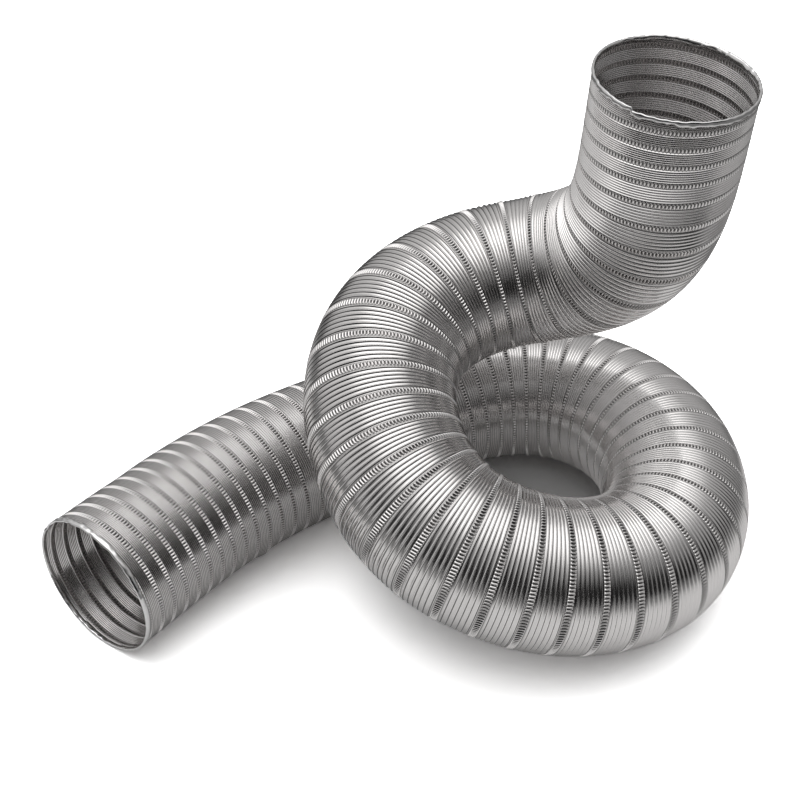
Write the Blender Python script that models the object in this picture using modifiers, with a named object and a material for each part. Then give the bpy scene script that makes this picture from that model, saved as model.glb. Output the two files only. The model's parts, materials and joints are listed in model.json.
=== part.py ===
"""Flexible aluminium air duct of 100 mm nominal bore, lying in a loop with one mouth raised.

The real duct is one corrugated aluminium strip, wound in a helix and lock-seamed to itself, with
a folded hem at each cut end. It bends and stretches a little at every turn of the strip. Here it
is a chain of short rigid sections, each standing for between one and two and a half turns, with a
joint between each pair of neighbours. The chain hangs from one section of the loop that rests on
the floor, so each other section is parented to its neighbour on that side and has its origin on
the joint between them. Local X runs along the duct and local Z is its upper side.
"""

import math
from collections import namedtuple

import bpy
from mathutils import Matrix, Vector

OBJECT_NAME = "flexible_air_duct"

# Driving dimensions: metres and degrees
BORE_RADIUS = 0.050  # slides over a 100 mm spigot
WALL_DEPTH = 0.0014  # of the corrugations, from crest to trough
SEAM_RISE = 0.0006  # how far the lock seam stands out past the corrugations
DUCT_LENGTH = 1.272  # along the centreline, from mouth to mouth
SECTION_COUNT = 46
SECTION_GAP = 0.004  # on the centreline, between two sections
HEM_LENGTH = 0.005  # folded edge of the strip at each mouth
HEM_CLEARANCE = 0.0003  # between the hem and the section that it belongs to

# Which sections belong to the straight tail, the loop and the raised end
TAIL_SECTIONS = 10
LOOP_SECTIONS = 28
ROOT_SECTION = 19  # the section of the loop that the chain hangs from

ROUND_STEPS = 10  # the round of the duct has 2 * ROUND_STEPS + 4 flat sides
TRACE_STEP = 0.0005  # between two points of the traced centreline

# The centreline starts at the tail's mouth, which lies on the floor, and follows these bends. Each
# has the distance of its middle along the duct, its length, and the angle that it turns. The start
# is placed so that the duct's box is centred on the origin.
START_X = -0.2069
START_Y = -0.09394
START_HEADING = 51.0  # anticlockwise from +X
Bend = namedtuple("Bend", "middle length angle")
TURNS = (  # seen from above: negative turns clockwise
    Bend(0.150, 0.200, -22),  # along the tail
    Bend(0.420, 0.270, -109),  # back right corner of the loop
    Bend(0.600, 0.210, -60),  # right-hand side
    Bend(0.740, 0.270, -84),  # front
    Bend(0.880, 0.240, -69),  # left-hand side
    Bend(1.040, 0.320, -118),  # over the back and round to the raised end
)
CLIMBS = (
    Bend(0.710, 0.340, 29),  # off the floor, to pass over the tail
    Bend(0.970, 0.200, -22),  # nearly level again over the back of the loop
    Bend(1.105, 0.170, 36),  # elbow, first half
    Bend(1.155, 0.150, 40),  # elbow, second half
)

FOIL_COLOUR = (0.79, 0.785, 0.78, 1.0)
HEM_COLOUR = (0.86, 0.86, 0.86, 1.0)
FOIL_ROUGHNESS = 0.28
HEM_ROUGHNESS = 0.2

CREST_RADIUS = BORE_RADIUS + WALL_DEPTH
SEAM_RADIUS = CREST_RADIUS + SEAM_RISE
SECTION_LENGTH = DUCT_LENGTH / SECTION_COUNT


# Centreline


def angle_at(bends, distance):
    """Sum of what each bend has turned by this distance: a smooth S from nothing to its angle."""
    total = 0.0
    for bend in bends:
        share = min(max((distance - bend.middle) / bend.length + 0.5, 0.0), 1.0)
        total += bend.angle * share * share * (3 - 2 * share)
    return math.radians(total)


def direction_at(distance):
    heading = math.radians(START_HEADING) + angle_at(TURNS, distance)
    climb = angle_at(CLIMBS, distance)
    level = math.cos(climb)
    return Vector((level * math.cos(heading), level * math.sin(heading), math.sin(climb)))


def trace_centreline():
    """Points every TRACE_STEP along the duct, from the tail's mouth to the raised one."""
    point = Vector((START_X, START_Y, SEAM_RADIUS))
    points = [point.copy()]
    for step in range(round(DUCT_LENGTH / TRACE_STEP)):
        point += direction_at((step + 0.5) * TRACE_STEP) * TRACE_STEP
        points.append(point.copy())
    return points


CENTRELINE = trace_centreline()


def point_at(distance):
    place = distance / TRACE_STEP
    before = min(int(place), len(CENTRELINE) - 2)
    return CENTRELINE[before].lerp(CENTRELINE[before + 1], place - before)


def frame_at(distance):
    """A frame on the centreline: X along the duct, Y level to its left, Z its upper side."""
    along = direction_at(distance)
    left = Vector((0, 0, 1)).cross(along).normalized()
    frame = Matrix((along, left, along.cross(left))).transposed().to_4x4()
    frame.translation = point_at(distance)
    return frame


# Names and joints


def section_name(index):
    if index < TAIL_SECTIONS:
        return f"tail_turns_{index + 1:02d}"
    if index < TAIL_SECTIONS + LOOP_SECTIONS:
        return f"loop_turns_{index + 1 - TAIL_SECTIONS:02d}"
    return f"riser_turns_{index + 1 - TAIL_SECTIONS - LOOP_SECTIONS:02d}"


def joint_distance(index):
    """Where section index meets its neighbour on the root's side; the root's own middle."""
    if index == ROOT_SECTION:
        return (index + 0.5) * SECTION_LENGTH
    return (index if index > ROOT_SECTION else index + 1) * SECTION_LENGTH


# Pieces


def make_material(name, colour, roughness):
    material = bpy.data.materials.new(name)
    material.use_nodes = True
    surface = material.node_tree.nodes["Principled BSDF"]
    surface.inputs["Base Color"].default_value = colour
    surface.inputs["Metallic"].default_value = 1.0
    surface.inputs["Roughness"].default_value = roughness
    material.diffuse_color = colour
    return material


def make_tube(name, frame, stations, outer_radius, wall):
    """A tube round the centreline, open at both ends, with its wall inside outer_radius.

    stations lists (distance along the duct, share of outer_radius) for each of its rings.
    """
    curve = bpy.data.curves.new(name, "CURVE")
    curve.dimensions = "3D"
    curve.twist_mode = "Z_UP"
    curve.resolution_u = 1
    curve.bevel_depth = outer_radius
    curve.bevel_resolution = ROUND_STEPS
    spline = curve.splines.new("BEZIER")
    spline.bezier_points.add(len(stations) - 1)
    to_local = frame.inverted()
    reach = (stations[-1][0] - stations[0][0]) / (len(stations) - 1) / 3
    for point, (distance, share) in zip(spline.bezier_points, stations):
        centre = point_at(distance)
        handle = direction_at(distance) * reach
        point.co = to_local @ centre
        point.handle_left = to_local @ (centre - handle)
        point.handle_right = to_local @ (centre + handle)
        point.radius = share
    tube = bpy.data.objects.new(name, curve)
    shell = tube.modifiers.new("wall", "SOLIDIFY")
    shell.thickness = wall
    shell.offset = -1
    return tube


def make_section(index):
    """One section of the duct, a little fuller in its middle, where its seam is."""
    start = index * SECTION_LENGTH + SECTION_GAP / 2
    end = (index + 1) * SECTION_LENGTH - SECTION_GAP / 2
    if index == 0:
        start = HEM_LENGTH + HEM_CLEARANCE
    if index == SECTION_COUNT - 1:
        end = DUCT_LENGTH - HEM_LENGTH - HEM_CLEARANCE
    crest = CREST_RADIUS / SEAM_RADIUS
    stations = ((start, crest), ((start + end) / 2, 1.0), (end, crest))
    frame = frame_at(joint_distance(index))
    section = make_tube(section_name(index), frame, stations, SEAM_RADIUS, WALL_DEPTH)
    section.data.materials.append(
        make_material(f"{section.name}_foil", FOIL_COLOUR, FOIL_ROUGHNESS)
    )
    return section


def make_hem(name, start, index):
    """The folded edge at a mouth: a ring from the bore out to the seams' radius, flat at its end."""
    stations = ((start, 1.0), (start + HEM_LENGTH, 1.0))
    frame = frame_at(joint_distance(index))
    hem = make_tube(name, frame, stations, SEAM_RADIUS, SEAM_RADIUS - BORE_RADIUS)
    hem.data.materials.append(make_material(f"{name}_foil", HEM_COLOUR, HEM_ROUGHNESS))
    return hem


# Assembly


def parent_section(sections, index):
    """Hangs a section on its neighbour towards the root, at the joint between them."""
    frame = frame_at(joint_distance(index))
    if index == ROOT_SECTION:
        sections[index].matrix_basis = frame
        return
    parent = index - 1 if index > ROOT_SECTION else index + 1
    sections[index].parent = sections[parent]
    sections[index].matrix_basis = frame_at(joint_distance(parent)).inverted() @ frame


def build():
    for old in list(bpy.data.objects):
        bpy.data.objects.remove(old)
    collection = bpy.data.collections.new(OBJECT_NAME)
    bpy.context.scene.collection.children.link(collection)
    sections = [make_section(index) for index in range(SECTION_COUNT)]
    for index in range(SECTION_COUNT):
        parent_section(sections, index)
    last = SECTION_COUNT - 1
    hems = (make_hem("tail_hem", 0.0, 0), make_hem("riser_hem", DUCT_LENGTH - HEM_LENGTH, last))
    for hem, owner in zip(hems, (sections[0], sections[last])):
        hem.parent = owner
    for piece in (*sections, *hems):
        collection.objects.link(piece)


build()
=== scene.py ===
"""Looks of the flexible aluminium air duct.

The duct is one corrugated strip wound in a helix. Its shape is worked out in duct coordinates, the
distance along the centreline and the angle round it, and then laid on the centreline, which is
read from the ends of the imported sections. Angles round the duct start at its left side, as
seen looking along it, and pass its upper side at a quarter turn. Lengths are metres.
"""

import json
import math
from collections import namedtuple

import bpy
import numpy as np
from mathutils import Matrix, Vector

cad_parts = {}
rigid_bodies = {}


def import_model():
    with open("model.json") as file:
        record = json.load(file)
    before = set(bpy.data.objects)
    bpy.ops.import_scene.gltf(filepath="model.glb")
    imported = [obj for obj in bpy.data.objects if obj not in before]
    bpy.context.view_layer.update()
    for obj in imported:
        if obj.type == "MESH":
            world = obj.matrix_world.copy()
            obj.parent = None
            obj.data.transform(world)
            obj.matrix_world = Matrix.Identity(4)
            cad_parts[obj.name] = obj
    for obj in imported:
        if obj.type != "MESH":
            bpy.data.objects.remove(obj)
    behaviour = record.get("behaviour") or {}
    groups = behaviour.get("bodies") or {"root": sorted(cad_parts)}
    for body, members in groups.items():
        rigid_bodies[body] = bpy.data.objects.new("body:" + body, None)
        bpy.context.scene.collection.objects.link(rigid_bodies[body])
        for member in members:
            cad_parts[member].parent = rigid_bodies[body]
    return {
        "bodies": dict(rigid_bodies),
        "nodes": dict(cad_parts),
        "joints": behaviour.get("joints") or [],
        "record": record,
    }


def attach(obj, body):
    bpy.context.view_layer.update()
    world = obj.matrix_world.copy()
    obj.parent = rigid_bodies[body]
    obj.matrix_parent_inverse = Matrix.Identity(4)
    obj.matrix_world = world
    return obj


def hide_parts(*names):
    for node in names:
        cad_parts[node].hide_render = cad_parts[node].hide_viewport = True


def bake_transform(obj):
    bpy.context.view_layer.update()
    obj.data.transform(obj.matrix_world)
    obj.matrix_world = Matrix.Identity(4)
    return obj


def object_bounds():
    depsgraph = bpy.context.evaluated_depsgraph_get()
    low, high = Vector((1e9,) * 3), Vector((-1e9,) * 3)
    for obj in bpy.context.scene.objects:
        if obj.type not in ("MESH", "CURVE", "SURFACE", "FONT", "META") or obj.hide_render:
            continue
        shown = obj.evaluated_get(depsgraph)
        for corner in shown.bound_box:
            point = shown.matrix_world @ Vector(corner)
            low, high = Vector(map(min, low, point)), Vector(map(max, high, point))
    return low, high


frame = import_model()
CAD_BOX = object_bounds()
RECORD = frame["record"]

# The duct's round shape
CREST_RADIUS = 0.0514  # over the fine ridges
SEAM_RADIUS = 0.0515  # over the lock seam
FOIL_THICKNESS = 0.00015

# The strip and its lock seam
SEAM_WIDTH = 0.0036  # between the feet of its two sides
TEETH = 138  # pockets round one turn of the seam
POCKET_DEPTH = 0.0009
POCKET_ROUND = (0.35, 0.0, 0.35, 1.0, 1.0, 1.0)  # share of the depth, in steps along the seam
# Where a pocket is pressed deeper, the foil is also painted darker there as shade.
POCKET_ACROSS = (  # (place across the seam's top, fall of the top, share of the depth)
    (-0.0017, 0.0005, 0.5), (-0.0012, 0.0002, 0.85), (-0.0004, 0.0001, 1.0), (0.0010, 0.0, 1.0),
    (0.0016, 0.0003, 0.5),
)
RIDGES = 6  # between one turn of the seam and the next
RIDGE_RISE = (  # (distance along the duct, height of a ridge as a share of its width there)
    (1.08, 0.28), (1.18, 0.65),
)
RIDGE_HEIGHTS = (0.0003, 0.0008)  # least and greatest
RIDGE_FOOT = 0.00055  # from a ridge's crest to its foot
RIDGE_FOOT_MOST = 0.38  # the most of the ridge's width that this takes
VALLEY_SAG = 0.0001  # how much lower the middle of a valley is than the feet beside it

# What the materials read as "crest": 0 in a deep crease, painted dark there as shade, VALLEY on
# flat foil, 1 where it is rubbed
VALLEY = 0.5
CREASE = 0.05
RUBBED_FROM = 0.6
INSIDE = 0.8  # on the inner face, outside its creases: part of the rubbed colour, painted light on the inside
# On one side of each ridge, its foot and lower flank are painted dark, a painted shade line beside
# the crest.
RIDGE_SHAPE = (  # (place across in feet, share of the height, crest)
    (-1.3, 0.0, VALLEY), (-1.15, 0.0, CREASE), (-0.5, 0.55, CREASE), (-0.3, 0.85, 0.8),
    (0.0, 1.0, 1.0), (0.35, 0.85, 0.9), (0.9, 0.0, VALLEY),
)

# How closely the strip is wound: (distance along the duct, turns in a metre there)
WINDING = (
    (0.00, 91), (0.20, 67), (0.55, 47), (0.70, 55), (1.00, 46), (1.12, 37), (1.18, 56), (1.27, 94),
)
FIRST_SEAM = 0.79  # turns wound before the seam first passes the duct's left side
WINDING_STEPS = 4000  # in which the turns are added up

Ripple = namedtuple("Ripple", "waves longest shortest")

# Marks of handling: distances along the duct, angles and widths round it in degrees
Dent = namedtuple("Dent", "distance angle length width depth")
DENTS = (
    Dent(0.000, -15, 0.040, 50, 0.0018),  # the tail's mouth is pressed in on its left
    Dent(0.060, 35, 0.012, 14, 0.0012),
    Dent(0.124, 215, 0.006, 12, -0.0018),
)
WAVES = Ripple(40, 0.15, 0.03)  # in the whole skin
WAVE_HEIGHT = 0.00003
WAVE_SEED = 3

# Folded hems at the mouths, neither of them cut quite square. A cut is highest at one angle, steps
# down at its notch, and its fold stands open at another angle. Angles are in degrees.
Cut = namedtuple("Cut", "rise high notch notch_depth open_at open_by")
TAIL_CUT = Cut(0.0003, 200, 35, 0.0014, 120, 0.0006)
RISER_CUT = Cut(0.0017, 75, 191, 0.0020, 10, 0.0014)
NOTCH_REACH = 0.6  # radians round the duct in which a notch runs out
OPEN_WIDTH = 55  # from where a fold stands open to where it is nearly closed
OPEN_LEAST = 0.3  # of open_by, all round
HEM_COVER = 0.0010  # the strip ends this far inside the fold
HEM_STEPS = 552  # round the duct
HEM_OUTLINE = (  # (distance in from the mouth, radius, share in the fold's standing open)
    (0.0034, 0.05185, 0), (0.0022, 0.0520, 0), (0.0012, 0.0520, 0), (0.0004, 0.0518, 0),  # outside
    (0.0000, 0.0515, 0), (-0.0001, 0.0509, 0), (0.0001, 0.0504, 0.1),  # fold
    (0.0006, 0.0502, 0.35), (0.0014, 0.0501, 0.7), (0.0022, 0.0502, 0.9),  # inner lap
    (0.0030, 0.0503, 1), (0.0030, 0.0505, 1), (0.0016, 0.0504, 0.7), (0.0008, 0.0507, 0.2),
    (0.0006, 0.0511, 0), (0.0009, 0.0515, 0), (0.0016, 0.0517, 0), (0.0034, 0.0516, 0),  # back
)
PATCHES = Ripple(12, 0.20, 0.04)  # where the foil is more and less crumpled
PATCH_MEAN = 0.6  # how much crumpled they are on average
CRUMPLES = Ripple(50, 0.022, 0.005)
CRUMPLE_HEIGHT = 0.0002
JAGS = Ripple(40, 0.040, 0.005)  # of the strip's cut edge
JAG_HEIGHT = 0.0006
JAG_FROM, JAG_WHOLE = 0.0005, 0.0035  # distances in from the mouth

# The camera, which looks at a point above the middle of the duct's box
CAMERA_LENS = 64.0
CAMERA_ELEVATION = math.radians(35.5)
CAMERA_DISTANCE = 0.981
CAMERA_LEAN = math.radians(-1.75)
AIM_RIGHT = 0.002
AIM_HEIGHT = 0.362  # share of the box's height

# Foil. A noise's scale is for the direction along the duct and the two across it.
LINE_SCALE = (1100, 60, 60)
CLOUD_SCALE = (28, 28, 28)
SMUDGE_SCALE = (160, 160, 160)
NOISE_RANGE = (0.3, 0.7)  # between which most of a noise's values lie
SMUDGE_RANGE = (0.55, 0.75)  # of the smudges' noise: from clean foil to smudged
RUB_RANGE = (0.35, 0.6)  # of the same noise: from crests as they were rolled to rubbed ones
CLOUD_SHARE = 0.6  # in the shade of the foil; the rolling lines have the rest
CLOUD_ROUGHNESS = 0.15  # share of the roughness by which the clouds change it
LINE_ROUGHNESS = 0.02
SMUDGE_ROUGHNESS = 0.10
RUB_SMOOTHNESS = 0.05
LINE_BUMP = 0.08
LINE_DEPTH = 0.00002
# Painted shade: the dark colour that creases and pockets are darkened towards, and the most of it
# that they take
CREASE_SHADE_COLOUR = (0.05, 0.048, 0.047, 1)
CREASE_SHADE_SHARE = 0.95

# Floor: what it reflects, near the duct and far from it, a painted falloff of light, and to the
# camera, with a painted shadow in the loop
FLOOR_SIZE = 12.0
FLOOR_DROP = 0.0002  # below the duct
FLOOR_ROUGHNESS = 0.9
FLOOR_NEAR, FLOOR_FAR = 0.93, 0.22
FLOOR_FADE = (0.30, 0.75)  # distances from the origin between which one becomes the other
SHADOW_SEEN_IN_LOOP, SEEN_OUTSIDE = 0.9, 3.2  # the one in the loop is a painted shadow; more than 1 is overexposed
LOOP_MIDDLE = (0.09, 0.0, 0.0)
LOOP_FADE = (0.08, 0.15)  # distances from the loop's middle, under the duct

# Room: brightness by direction. Heights are the sine of a direction's elevation.
WALLS_LOW, WALLS_HIGH = 0.30, 0.62
SHARE_LEFT, SHARE_RIGHT = 1.42, 0.78  # of the walls' brightness
SOFTBOX = 0.95
SOFTBOX_HEIGHTS = (0.70, 1.0)  # where it begins, and where it is at its brightest
DARK_FRONT = (-0.2, -0.6)  # Y of the compass direction where it begins, and where it is whole
DARKNESS = 0.97
DARK_HEIGHTS = (0.35, 1.05)  # where it starts to lift, and where it would be gone
LEVEL_LEAST = 0.01  # keeps the compass direction from a division by nothing overhead

RIM_LEAN = 0.9  # least cosine between a section's axis and the faces of its rims


# Centreline


Centreline = namedtuple("Centreline", "distance point along left up")


def rim_centres(node):
    """Centres of the two rims that end a packed section or hem."""
    faces = frame["nodes"][node].data.polygons
    normal = np.array([face.normal for face in faces])
    centre = np.array([face.center for face in faces])
    area = np.array([face.area for face in faces])
    axis = np.linalg.eigh((normal * area[:, None]).T @ normal)[1][:, 0]
    lean = normal @ axis
    return [np.average(centre[rim], axis=0, weights=area[rim])
            for rim in (lean > RIM_LEAN, lean < -RIM_LEAN)]


def section_bodies():
    """The bodies in their order along the duct, from the tail's mouth to the raised one."""
    beside = {body: [] for body in frame["bodies"]}
    for joint in frame["joints"]:
        beside[joint["parent"]].append(joint["child"])
        beside[joint["child"]].append(joint["parent"])
    groups = RECORD["behaviour"]["bodies"]
    order = [next(body for body in groups if "tail_hem" in groups[body])]
    while len(order) < len(groups):
        order.append(next(body for body in beside[order[-1]] if body not in order))
    return order


def read_centres(order):
    """The rims' centres, in order along the duct, starting with the tail mouth's own."""
    pairs = [rim_centres(node) for node in ("tail_hem", *order, "riser_hem")]
    inside = sum(pairs[1]) / 2
    behind = max(pairs[0], key=lambda at: np.linalg.norm(at - inside))
    centres = []
    for pair in pairs:
        centres += sorted(pair, key=lambda at: np.linalg.norm(at - behind))
        behind = centres[-1]
    return np.array(centres)


def unit(vectors):
    return vectors / np.linalg.norm(vectors, axis=1)[:, None]


def smooth_curve(centres, steps):
    """Points of a smooth curve through the centres."""
    gap = np.linalg.norm(np.diff(centres, axis=0), axis=1)
    slope = unit(np.gradient(centres, np.cumsum(np.r_[0, gap]), axis=0))
    share = (np.arange(steps) / steps)[:, None]
    square, cube = share ** 2, share ** 3
    parts = [(2 * cube - 3 * square + 1) * start + (3 * square - 2 * cube) * end
             + (cube - 2 * square + share) * reach * leave + (cube - square) * reach * arrive
             for start, end, reach, leave, arrive
             in zip(centres, centres[1:], gap, slope, slope[1:])]
    return np.concatenate([*parts, centres[-1:]])


def trace_centreline(order, steps=10, spare=0.05):
    """The centreline, run on straight for a spare length past each mouth."""
    curve = smooth_curve(read_centres(order), steps)
    back, onward = unit(np.array([curve[0] - curve[1], curve[-1] - curve[-2]]))
    points = np.concatenate([[curve[0] + spare * back], curve, [curve[-1] + spare * onward]])
    distance = np.cumsum(np.r_[-spare, np.linalg.norm(np.diff(points, axis=0), axis=1)])
    along = unit(np.gradient(points, distance, axis=0))
    left = unit(np.cross((0.0, 0.0, 1.0), along))
    return Centreline(distance, points, along, left, np.cross(along, left))


def on_line(table, distance):
    return np.stack([np.interp(distance, LINE.distance, column) for column in table.T], 1)


def lay_on_duct(distance, angle, radius):
    """Duct coordinates to places in the frame."""
    out = (np.cos(angle)[:, None] * on_line(LINE.left, distance)
           + np.sin(angle)[:, None] * on_line(LINE.up, distance))
    return on_line(LINE.point, distance) + radius[:, None] * out


ORDER = section_bodies()
LINE = trace_centreline(ORDER)
DUCT_LENGTH = LINE.distance[-2]
SECTION_LENGTH = DUCT_LENGTH / len(ORDER)


# Helix


def add_up_turns():
    """Places along the centreline, and the turns that the strip has made by each of them."""
    places = np.linspace(LINE.distance[0], LINE.distance[-1], WINDING_STEPS + 1)
    pace = np.interp(places, *zip(*WINDING))
    turns = np.cumsum(np.r_[0.0, (pace[1:] + pace[:-1]) / 2 * np.diff(places)])
    return places, turns - np.interp(0.0, places, turns)


WOUND_AT, WOUND = add_up_turns()


def distance_at(turns):
    """Distance along the duct by which the strip has made this many turns."""
    return np.interp(turns, WOUND, WOUND_AT)


def ripple(distance, angle, seed, kind):
    """A smooth irregular wave of about unit height over the duct, the same on every run."""
    random = np.random.default_rng(seed)
    total = np.zeros_like(distance)
    for _ in range(kind.waves):
        length = kind.shortest * (kind.longest / kind.shortest) ** random.random()
        lean = random.uniform(-math.pi, math.pi)
        round_count = round(math.sin(lean) * 2 * math.pi * CREST_RADIUS / length)
        pace = 2 * math.pi * math.cos(lean) / length
        total += np.sin(pace * distance + round_count * angle + random.uniform(0, 2 * math.pi))
    return total * math.sqrt(2 / kind.waves)


def turned_from(angle, degrees, width):
    """How far round the duct an angle is from another, in widths. Both are in degrees."""
    turn = (angle - math.radians(degrees) + math.pi) % (2 * math.pi) - math.pi
    return turn / math.radians(width)


def dented(distance, angle, radius):
    """The radius, less what the dents and the handling of the foil take off it."""
    for dent in DENTS:
        reach = ((distance - dent.distance) / dent.length) ** 2
        reach += turned_from(angle, dent.angle, dent.width) ** 2
        radius = radius - dent.depth * np.exp(-reach)
    return radius + WAVE_HEIGHT * ripple(distance, angle, WAVE_SEED, WAVES)


def cut_edge(cut, angle):
    """How far past its nominal end a mouth reaches: a slant, and a step where the strip ends."""
    slant = cut.rise * (1 + np.cos(angle - math.radians(cut.high)))
    past = (angle - math.radians(cut.notch)) % (2 * math.pi)
    return slant - cut.notch_depth * np.exp(-past / NOTCH_REACH)


Strip = namedtuple("Strip", "distance angle radius crest faces")


def corners(first, second):
    """Four-cornered faces between two rows of point numbers, facing out of the duct."""
    return np.stack([first[:-1], first[1:], second[1:], second[:-1]], 1)


def fan(coarse, fine):
    """Triangles from a row with one point for each pocket to a row with several, fine row ahead."""
    steps = len(POCKET_ROUND)
    left, right = coarse[:-1], coarse[1:]
    ahead = [fine[step::steps][:len(left)] for step in range(steps)]
    ahead.append(fine[steps::steps][:len(left)])
    half = steps // 2
    parts = [(left, ahead[step + 1], ahead[step]) for step in range(half)]
    parts.append((left, right, ahead[half]))
    parts += [(right, ahead[step + 1], ahead[step]) for step in range(half, steps)]
    return np.concatenate([np.stack([*part, part[-1]], 1) for part in parts])


def ridge_height(turns, angle):
    """Height of the fine ridges, which are lower where they lie close together."""
    edge = SEAM_WIDTH / 2
    radius = np.full_like(angle, CREST_RADIUS)
    near = lay_on_duct(distance_at(turns) + edge, angle, radius)
    far = lay_on_duct(distance_at(turns + 1) - edge, angle, radius)
    spacing = np.linalg.norm(far - near, axis=1) / RIDGES
    rise = np.interp(distance_at(turns), *zip(*RIDGE_RISE))
    return np.clip(rise * spacing, *RIDGE_HEIGHTS)


def ridge_rows(pockets):
    """Rows of points: the seam's two feet, then over the ridges up to its next turn."""
    turns = pockets / TEETH + FIRST_SEAM
    angle = pockets % TEETH * (2 * math.pi / TEETH)
    here, there = distance_at(turns), distance_at(turns + 1)
    height = ridge_height(turns, angle)
    turn_before = np.r_[height[:TEETH], height[:-TEETH]]
    # The seam's two feet are painted dark as shade.
    rows = [(here - SEAM_WIDTH / 2, CREST_RADIUS - turn_before, CREASE),
            (here + SEAM_WIDTH / 2, CREST_RADIUS - height, CREASE)]
    spacing = (there - here - SEAM_WIDTH) / RIDGES
    foot = np.minimum(RIDGE_FOOT, RIDGE_FOOT_MOST * spacing)
    for ridge in range(RIDGES):
        valley = here + SEAM_WIDTH / 2 + spacing * ridge
        if ridge:
            rows.append((valley, CREST_RADIUS - height, VALLEY))
        for side, rise, crest in RIDGE_SHAPE:
            rows.append((valley + spacing / 2 + side * foot,
                         CREST_RADIUS - (height - VALLEY_SAG) * (1 - rise), crest))
    return [np.broadcast_arrays(distance, angle, radius, crest) for distance, radius, crest in rows]


def seam_rows(pockets):
    """Rows of points over the seam, with several points for each of its pockets."""
    steps = len(POCKET_ROUND)
    fine = np.arange(steps * (len(pockets) - 1) + 1) / steps + pockets[0]
    distance = distance_at(fine / TEETH + FIRST_SEAM)
    angle = fine % TEETH * (2 * math.pi / TEETH)
    pressed = np.resize(POCKET_ROUND, len(fine))
    # The deeper a pocket is pressed, the lower its crest value, so the pockets are painted dark as
    # shade.
    return [(distance + across, angle, SEAM_RADIUS - fall - POCKET_DEPTH * share * pressed,
             1 - share * pressed) for across, fall, share in POCKET_ACROSS]


def wind_strip():
    """The strip's outer face in duct coordinates, from before the one mouth to past the other."""
    first = math.floor(-(1 + FIRST_SEAM) * TEETH)
    last = math.ceil((np.interp(DUCT_LENGTH, WOUND_AT, WOUND) - FIRST_SEAM) * TEETH)
    pockets = np.arange(first, last + TEETH)
    ridges, seam = ridge_rows(pockets), seam_rows(pockets)
    points = [np.concatenate(part) for part in zip(*ridges, *seam)]

    row = np.arange(len(ridges) * len(pockets)).reshape(len(ridges), -1)
    top = np.arange(row.size, len(points[0])).reshape(len(seam), -1)
    faces = [corners(top[k], top[k + 1]) for k in range(len(top) - 1)]
    faces += [corners(row[k], row[k + 1]) for k in range(1, len(row) - 1)]
    faces.append(corners(row[-1][:-TEETH], row[0][TEETH:]))
    faces.append(fan(row[0], top[0]))
    faces.append(fan(row[1], top[-1])[:, ::-1])
    return Strip(*points, np.concatenate(faces))


def point_normals(places, faces):
    """Smooth outward normals of a mesh's points."""
    across = np.cross(places[faces[:, 2]] - places[faces[:, 0]],
                      places[faces[:, 3]] - places[faces[:, 1]])
    total = np.stack([np.bincount(faces.ravel(), np.repeat(across[:, k], 4), len(places))
                      for k in range(3)], 1)
    return total / np.maximum(np.linalg.norm(total, axis=1), 1e-12)[:, None]


# Mesh pieces


def open_edges(faces):
    """The edges that only one of these faces has, each in the direction that face has it."""
    begin, end = faces.ravel(), np.roll(faces, -1, 1).ravel()
    real = begin != end
    begin, end = begin[real].astype(np.int64), end[real].astype(np.int64)
    size = faces.max() + 1
    lone = ~np.isin(begin * size + end, end * size + begin)
    return begin[lone], end[lone]


def make_mesh(name, places, faces, normals=None):
    """A smooth mesh. A face that repeats its last corner, or its first, is a triangle."""
    mesh = bpy.data.meshes.new(name)
    used = np.ones(faces.shape, bool)
    used[:, 3] = faces[:, 3] != faces[:, 2]
    used[:, 0] = faces[:, 0] != faces[:, 1]
    corner = faces[used]
    size = used.sum(1)
    mesh.vertices.add(len(places))
    mesh.vertices.foreach_set("co", places.astype(np.float32).ravel())
    mesh.loops.add(len(corner))
    mesh.loops.foreach_set("vertex_index", corner.astype(np.int32))
    mesh.polygons.add(len(faces))
    mesh.polygons.foreach_set("loop_start", np.r_[0, np.cumsum(size)[:-1]].astype(np.int32))
    mesh.update(calc_edges=True)
    mesh.polygons.foreach_set("use_smooth", np.ones(len(faces), bool))
    if normals is not None:
        mesh.normals_split_custom_set_from_vertices(normals.astype(np.float32))
    return mesh


def add_values(mesh, name, values):
    """Stores a number or a vector on each point, for the material to read."""
    kind, key = ("FLOAT", "value") if values.ndim == 1 else ("FLOAT_VECTOR", "vector")
    attribute = mesh.attributes.new(name, kind, "POINT")
    attribute.data.foreach_set(key, values.astype(np.float32).ravel())


def add_object(mesh, material):
    piece = bpy.data.objects.new(mesh.name, mesh)
    bpy.context.scene.collection.objects.link(piece)
    mesh.materials.append(material)
    return piece


def straight_place(distance, angle, radius):
    """Where a point would be if the duct were straight: coordinates that its grain follows."""
    return np.stack([distance, radius * np.cos(angle), radius * np.sin(angle)], 1)


def cut_length(name, strip, places, normals, chosen, material):
    """One length of the strip, as a closed sheet with the foil's thickness."""
    faces = strip.faces[chosen]
    points, faces = np.unique(faces, return_inverse=True)
    faces = faces.reshape(-1, 4)
    outer, normal = places[points], normals[points]
    count = len(points)
    begin, end = open_edges(faces)
    rim = np.stack([end, begin, begin + count, end + count], 1)
    mesh = make_mesh(name, np.concatenate([outer, outer - FOIL_THICKNESS * normal]),
                     np.concatenate([faces, faces[:, ::-1] + count, rim]),
                     np.concatenate([normal, -normal]))
    twice = np.tile(points, 2)
    add_values(mesh, "duct_place", straight_place(
        strip.distance[twice], strip.angle[twice], strip.radius[twice]))
    crest = strip.crest[points]
    # The inner face's creases get half the painted shade, and the rest of it part of the rubbed
    # colour, painted light on the inside.
    inner = np.where(crest < VALLEY, (crest + VALLEY) / 2, INSIDE)
    add_values(mesh, "crest", np.r_[crest, inner])
    return add_object(mesh, material), strip.distance[twice]


def bend_across(piece):
    """Bakes the placement of a length of strip that lies across two sections into its points.
    """
    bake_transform(piece)


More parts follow.
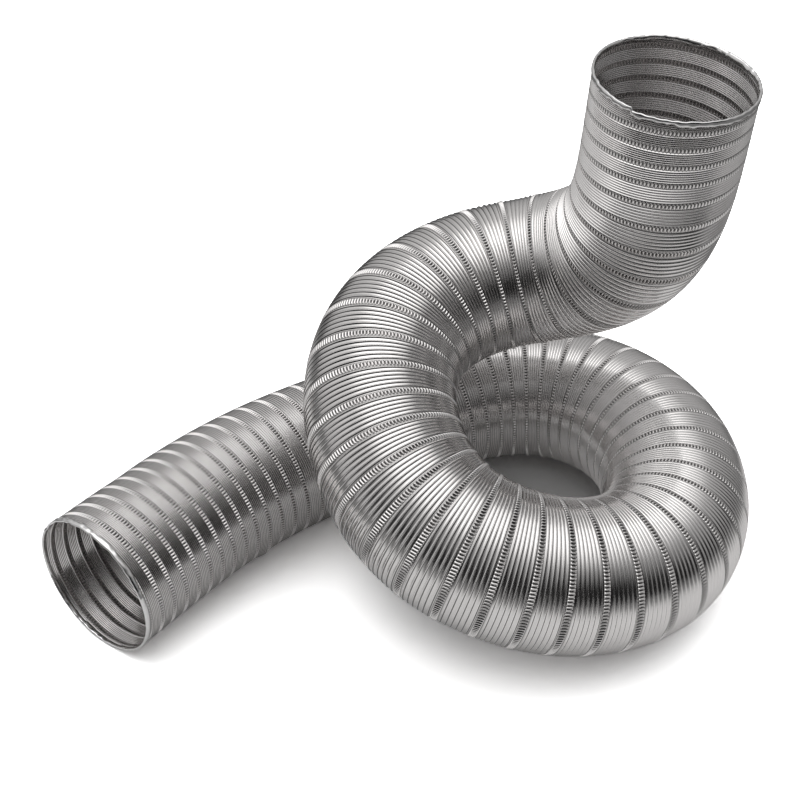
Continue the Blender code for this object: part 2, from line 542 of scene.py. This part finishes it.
def make_strip(material):
    """The whole strip, as lengths that run from the middle of one section to that of the next."""
    strip = wind_strip()
    strip = strip._replace(radius=dented(strip.distance, strip.angle, strip.radius))
    places = lay_on_duct(strip.distance, strip.angle, strip.radius)
    normals = point_normals(places, strip.faces)
    reach = strip.distance[strip.faces]
    start = HEM_COVER - cut_edge(TAIL_CUT, strip.angle)[strip.faces[:, 0]]
    end = DUCT_LENGTH - HEM_COVER + cut_edge(RISER_CUT, strip.angle)[strip.faces[:, 0]]
    kept = (reach.min(1) > start) & (reach.max(1) < end)
    last = len(ORDER)
    owner = np.clip(np.floor(reach.mean(1) / SECTION_LENGTH + 0.5), 0, last)
    for index in range(last + 1):
        chosen = kept & (owner == index)
        name = f"strip_length_{index + 1:02d}"
        piece, distance = cut_length(name, strip, places, normals, chosen, material)
        sections = ORDER[max(index - 1, 0):index + 1]
        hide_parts(*sections)
        if len(sections) == 2:
            bend_across(piece)
        else:
            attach(piece, sections[0])


def make_hem(name, owner, mouth, inward, cut, seed, material):
    """The strip's cut end, folded back over itself by hand and crumpled."""
    points = len(HEM_OUTLINE)
    angle = np.repeat(np.arange(HEM_STEPS) * (2 * math.pi / HEM_STEPS), points)
    depth, radius, share = np.tile(np.array(HEM_OUTLINE).T, HEM_STEPS)
    near = np.exp(-turned_from(angle, cut.open_at, OPEN_WIDTH) ** 2)
    opening = share * (OPEN_LEAST + (1 - OPEN_LEAST) * near)
    patch = PATCH_MEAN * (1 + np.tanh(ripple(0 * depth, angle, seed + 2, PATCHES)))
    crumple = CRUMPLE_HEIGHT * patch * np.tanh(ripple(depth, angle, seed, CRUMPLES))
    jag = JAG_HEIGHT * patch * np.tanh(ripple(0 * depth, angle, seed + 1, JAGS))
    jag *= np.interp(depth, (JAG_FROM, JAG_WHOLE), (0, 1))
    distance = mouth + inward * (depth + jag + crumple - cut_edge(cut, angle))
    radius = dented(distance, angle, radius - cut.open_by * opening + crumple)
    places = lay_on_duct(distance, angle, radius)
    grid = np.arange(HEM_STEPS * points).reshape(HEM_STEPS, points)
    ahead, beside = np.roll(grid, -1, 0), np.roll(grid, -1, 1)
    faces = np.stack([grid, ahead, np.roll(ahead, -1, 1), beside], -1).reshape(-1, 4)
    if inward > 0:
        faces = faces[:, ::-1]
    mesh = make_mesh(name, places, faces)
    add_values(mesh, "duct_place", straight_place(distance, angle, radius))
    piece = add_object(mesh, material)
    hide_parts(owner)
    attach(piece, ORDER[0] if mouth == 0 else ORDER[-1])


# Materials


def add_node(tree, kind, **settings):
    """A node with its properties, and its inputs set from values or joined to sockets."""
    node = tree.nodes.new(kind)
    inputs = settings.pop("inputs", {})
    for key, value in settings.items():
        setattr(node, key, value)
    for key, value in inputs.items():
        if isinstance(value, bpy.types.NodeSocket):
            tree.links.new(value, node.inputs[key])
        else:
            node.inputs[key].default_value = value
    return node


def stretched_noise(tree, place, stretch, detail, rough=0.6):
    """Noise over the duct's straight coordinates, with its own scale along and across."""
    scaled = add_node(tree, "ShaderNodeVectorMath", operation="MULTIPLY",
                      inputs={0: place, 1: stretch})
    texture = add_node(tree, "ShaderNodeTexNoise",
                       inputs={"Vector": scaled.outputs[0], "Scale": 1.0, "Detail": detail,
                               "Roughness": rough})
    return texture.outputs["Fac"]


def remap(tree, value, low, high, out_low, out_high):
    node = add_node(tree, "ShaderNodeMapRange", inputs={
        "Value": value, "From Min": low, "From Max": high, "To Min": out_low, "To Max": out_high})
    return node.outputs["Result"]


def smooth_step(tree, value, low, high):
    node = add_node(tree, "ShaderNodeMapRange", interpolation_type="SMOOTHSTEP", inputs={
        "Value": value, "From Min": low, "From Max": high, "To Min": 0.0, "To Max": 1.0})
    return node.outputs["Result"]


def combine(tree, operation, first, second):
    return add_node(tree, "ShaderNodeMath", operation=operation,
                    inputs={0: first, 1: second}).outputs[0]


def blend_colour(tree, share, first, second):
    node = add_node(tree, "ShaderNodeMix", data_type="RGBA")
    tree.links.new(share, node.inputs["Factor"])
    for socket, value in zip((node.inputs[6], node.inputs[7]), (first, second)):
        if isinstance(value, bpy.types.NodeSocket):
            tree.links.new(value, socket)
        else:
            socket.default_value = value
    return node.outputs[2]


def make_foil(name, dark, light, roughness, wear):
    """Mill-finish aluminium foil: rolling lines round the duct, clouding, smudges and wear, and
    painted shade in its creases and pockets.
    """
    material = bpy.data.materials.new(name)
    material.use_nodes = True
    tree = material.node_tree
    surface = tree.nodes["Principled BSDF"]
    surface.inputs["Metallic"].default_value = 1.0
    place = add_node(tree, "ShaderNodeAttribute", attribute_name="duct_place").outputs["Vector"]
    lines = stretched_noise(tree, place, LINE_SCALE, detail=2.0)
    clouds = stretched_noise(tree, place, CLOUD_SCALE, detail=4.0)
    smudges = stretched_noise(tree, place, SMUDGE_SCALE, detail=5.0, rough=0.7)

    shade = combine(tree, "ADD", remap(tree, clouds, *NOISE_RANGE, 0.0, CLOUD_SHARE),
                    remap(tree, lines, *NOISE_RANGE, 0.0, 1 - CLOUD_SHARE))
    colour = blend_colour(tree, shade, dark, light)
    rough = remap(tree, clouds, *NOISE_RANGE, roughness * (1 - CLOUD_ROUGHNESS),
                  roughness * (1 + CLOUD_ROUGHNESS))
    rough = combine(tree, "ADD", rough,
                    remap(tree, lines, *NOISE_RANGE, -LINE_ROUGHNESS, LINE_ROUGHNESS))
    rough = combine(tree, "ADD", rough,
                    remap(tree, smudges, *SMUDGE_RANGE, 0.0, SMUDGE_ROUGHNESS))
    if wear:
        crest = add_node(tree, "ShaderNodeAttribute", attribute_name="crest").outputs["Fac"]
        # Lighter, smoother wear where crests are rubbed; on the inner face the same colour is
        # painted light.
        rubbed = combine(tree, "MULTIPLY", remap(tree, crest, RUBBED_FROM, 1.0, 0.0, 1.0),
                         remap(tree, smudges, *RUB_RANGE, 0.0, 1.0))
        colour = blend_colour(tree, rubbed, colour, wear)
        rough = combine(tree, "SUBTRACT", rough,
                        combine(tree, "MULTIPLY", rubbed, RUB_SMOOTHNESS))
        # Painted shade: creases and pockets are darkened towards the crease colour.
        crease_shade = remap(tree, crest, 0.0, VALLEY, CREASE_SHADE_SHARE, 0.0)
        colour = blend_colour(tree, crease_shade, colour, CREASE_SHADE_COLOUR)
    tree.links.new(colour, surface.inputs["Base Color"])
    tree.links.new(rough, surface.inputs["Roughness"])
    bump = add_node(tree, "ShaderNodeBump",
                    inputs={"Height": lines, "Strength": LINE_BUMP, "Distance": LINE_DEPTH})
    tree.links.new(bump.outputs["Normal"], surface.inputs["Normal"])
    return material


# Stage


def grey(value):
    return (value, value, value, 1)


def make_floor():
    """A matt pale floor, darker further off in what it reflects, a painted falloff of light, and
    overexposed to the camera outside the loop, with a painted shadow inside it.
    """
    bpy.ops.mesh.primitive_plane_add(
        size=FLOOR_SIZE, location=(0, 0, CAD_BOX[0].z - FLOOR_DROP))
    floor = bpy.context.object
    floor.name = "floor"
    material = bpy.data.materials.new("floor_white")
    material.use_nodes = True
    tree = material.node_tree
    surface = tree.nodes["Principled BSDF"]
    surface.inputs["Roughness"].default_value = FLOOR_ROUGHNESS
    surface.inputs["Specular IOR Level"].default_value = 0.0
    place = add_node(tree, "ShaderNodeNewGeometry").outputs["Position"]
    away = add_node(tree, "ShaderNodeVectorMath", operation="LENGTH", inputs={0: place})
    # Painted falloff of light: what the floor reflects darkens away from the duct.
    reflected = blend_colour(tree, smooth_step(tree, away.outputs["Value"], *FLOOR_FADE),
                             grey(FLOOR_NEAR), grey(FLOOR_FAR))
    aside = add_node(tree, "ShaderNodeVectorMath", operation="DISTANCE",
                     inputs={0: place, 1: LOOP_MIDDLE})
    # Painted shadow: the camera sees the floor darker inside the loop.
    seen = blend_colour(tree, smooth_step(tree, aside.outputs["Value"], *LOOP_FADE),
                        grey(SHADOW_SEEN_IN_LOOP), grey(SEEN_OUTSIDE))
    by_camera = add_node(tree, "ShaderNodeLightPath").outputs["Is Camera Ray"]
    tree.links.new(blend_colour(tree, by_camera, reflected, seen), surface.inputs["Base Color"])
    floor.data.materials.append(material)


def make_room():
    """Pale walls under a wide softbox, and darkness on the side that the camera stands on."""
    world = bpy.data.worlds.new("room")
    bpy.context.scene.world = world
    world.use_nodes = True
    tree = world.node_tree
    toward = add_node(tree, "ShaderNodeTexCoord").outputs["Generated"]
    axes = add_node(tree, "ShaderNodeSeparateXYZ", inputs={"Vector": toward})
    height = axes.outputs["Z"]
    level = combine(tree, "SQRT", combine(tree, "SUBTRACT", 1.0, combine(
        tree, "MULTIPLY", height, height)), 0.0)
    front = combine(tree, "DIVIDE", axes.outputs["Y"],
                    combine(tree, "MAXIMUM", level, LEVEL_LEAST))
    dark = combine(tree, "MULTIPLY", smooth_step(tree, front, *DARK_FRONT),
                   remap(tree, height, *DARK_HEIGHTS, DARKNESS, 0.0))
    walls = combine(tree, "MULTIPLY", remap(tree, height, 0.0, 1.0, WALLS_LOW, WALLS_HIGH),
                    remap(tree, axes.outputs["X"], -1.0, 1.0, SHARE_LEFT, SHARE_RIGHT))
    softbox = combine(tree, "MULTIPLY", smooth_step(tree, height, *SOFTBOX_HEIGHTS), SOFTBOX)
    lit = combine(tree, "SUBTRACT", 1.0, dark)
    glow = combine(tree, "MULTIPLY", combine(tree, "ADD", walls, softbox), lit)
    tree.links.new(glow, tree.nodes["Background"].inputs["Strength"])
    tree.nodes["Background"].inputs["Color"].default_value = (1, 1, 1, 1)


def make_camera():
    """Looks along +Y and down on the middle of the duct, from a tripod that leans a little."""
    camera = bpy.data.objects.new("camera", bpy.data.cameras.new("camera"))
    camera.data.lens = CAMERA_LENS
    middle = (CAD_BOX[0] + CAD_BOX[1]) / 2
    middle.x += AIM_RIGHT
    middle.z = CAD_BOX[0].z + AIM_HEIGHT * (CAD_BOX[1].z - CAD_BOX[0].z)
    back = Vector((0, -math.cos(CAMERA_ELEVATION), math.sin(CAMERA_ELEVATION)))
    turn = Matrix.Rotation(math.pi / 2 - CAMERA_ELEVATION, 4, "X")
    lean = Matrix.Rotation(CAMERA_LEAN, 4, "Z")
    camera.matrix_world = Matrix.Translation(middle + CAMERA_DISTANCE * back) @ turn @ lean
    bpy.context.scene.collection.objects.link(camera)
    bpy.context.scene.camera = camera


make_strip(make_foil("foil", dark=(0.80, 0.780, 0.770, 1), light=(0.91, 0.885, 0.875, 1),
                     roughness=0.18, wear=(0.94, 0.92, 0.91, 1)))
HEM_FOIL = make_foil("hem_foil", dark=(0.80, 0.79, 0.785, 1), light=(0.88, 0.87, 0.865, 1),
                     roughness=0.14, wear=None)
make_hem("tail_mouth_hem", "tail_hem", mouth=0.0, inward=1, cut=TAIL_CUT, seed=11,
         material=HEM_FOIL)
make_hem("riser_mouth_hem", "riser_hem", mouth=DUCT_LENGTH, inward=-1, cut=RISER_CUT, seed=23,
         material=HEM_FOIL)
make_floor()
make_room()
make_camera()
bpy.context.scene.view_settings.view_transform = "Standard"
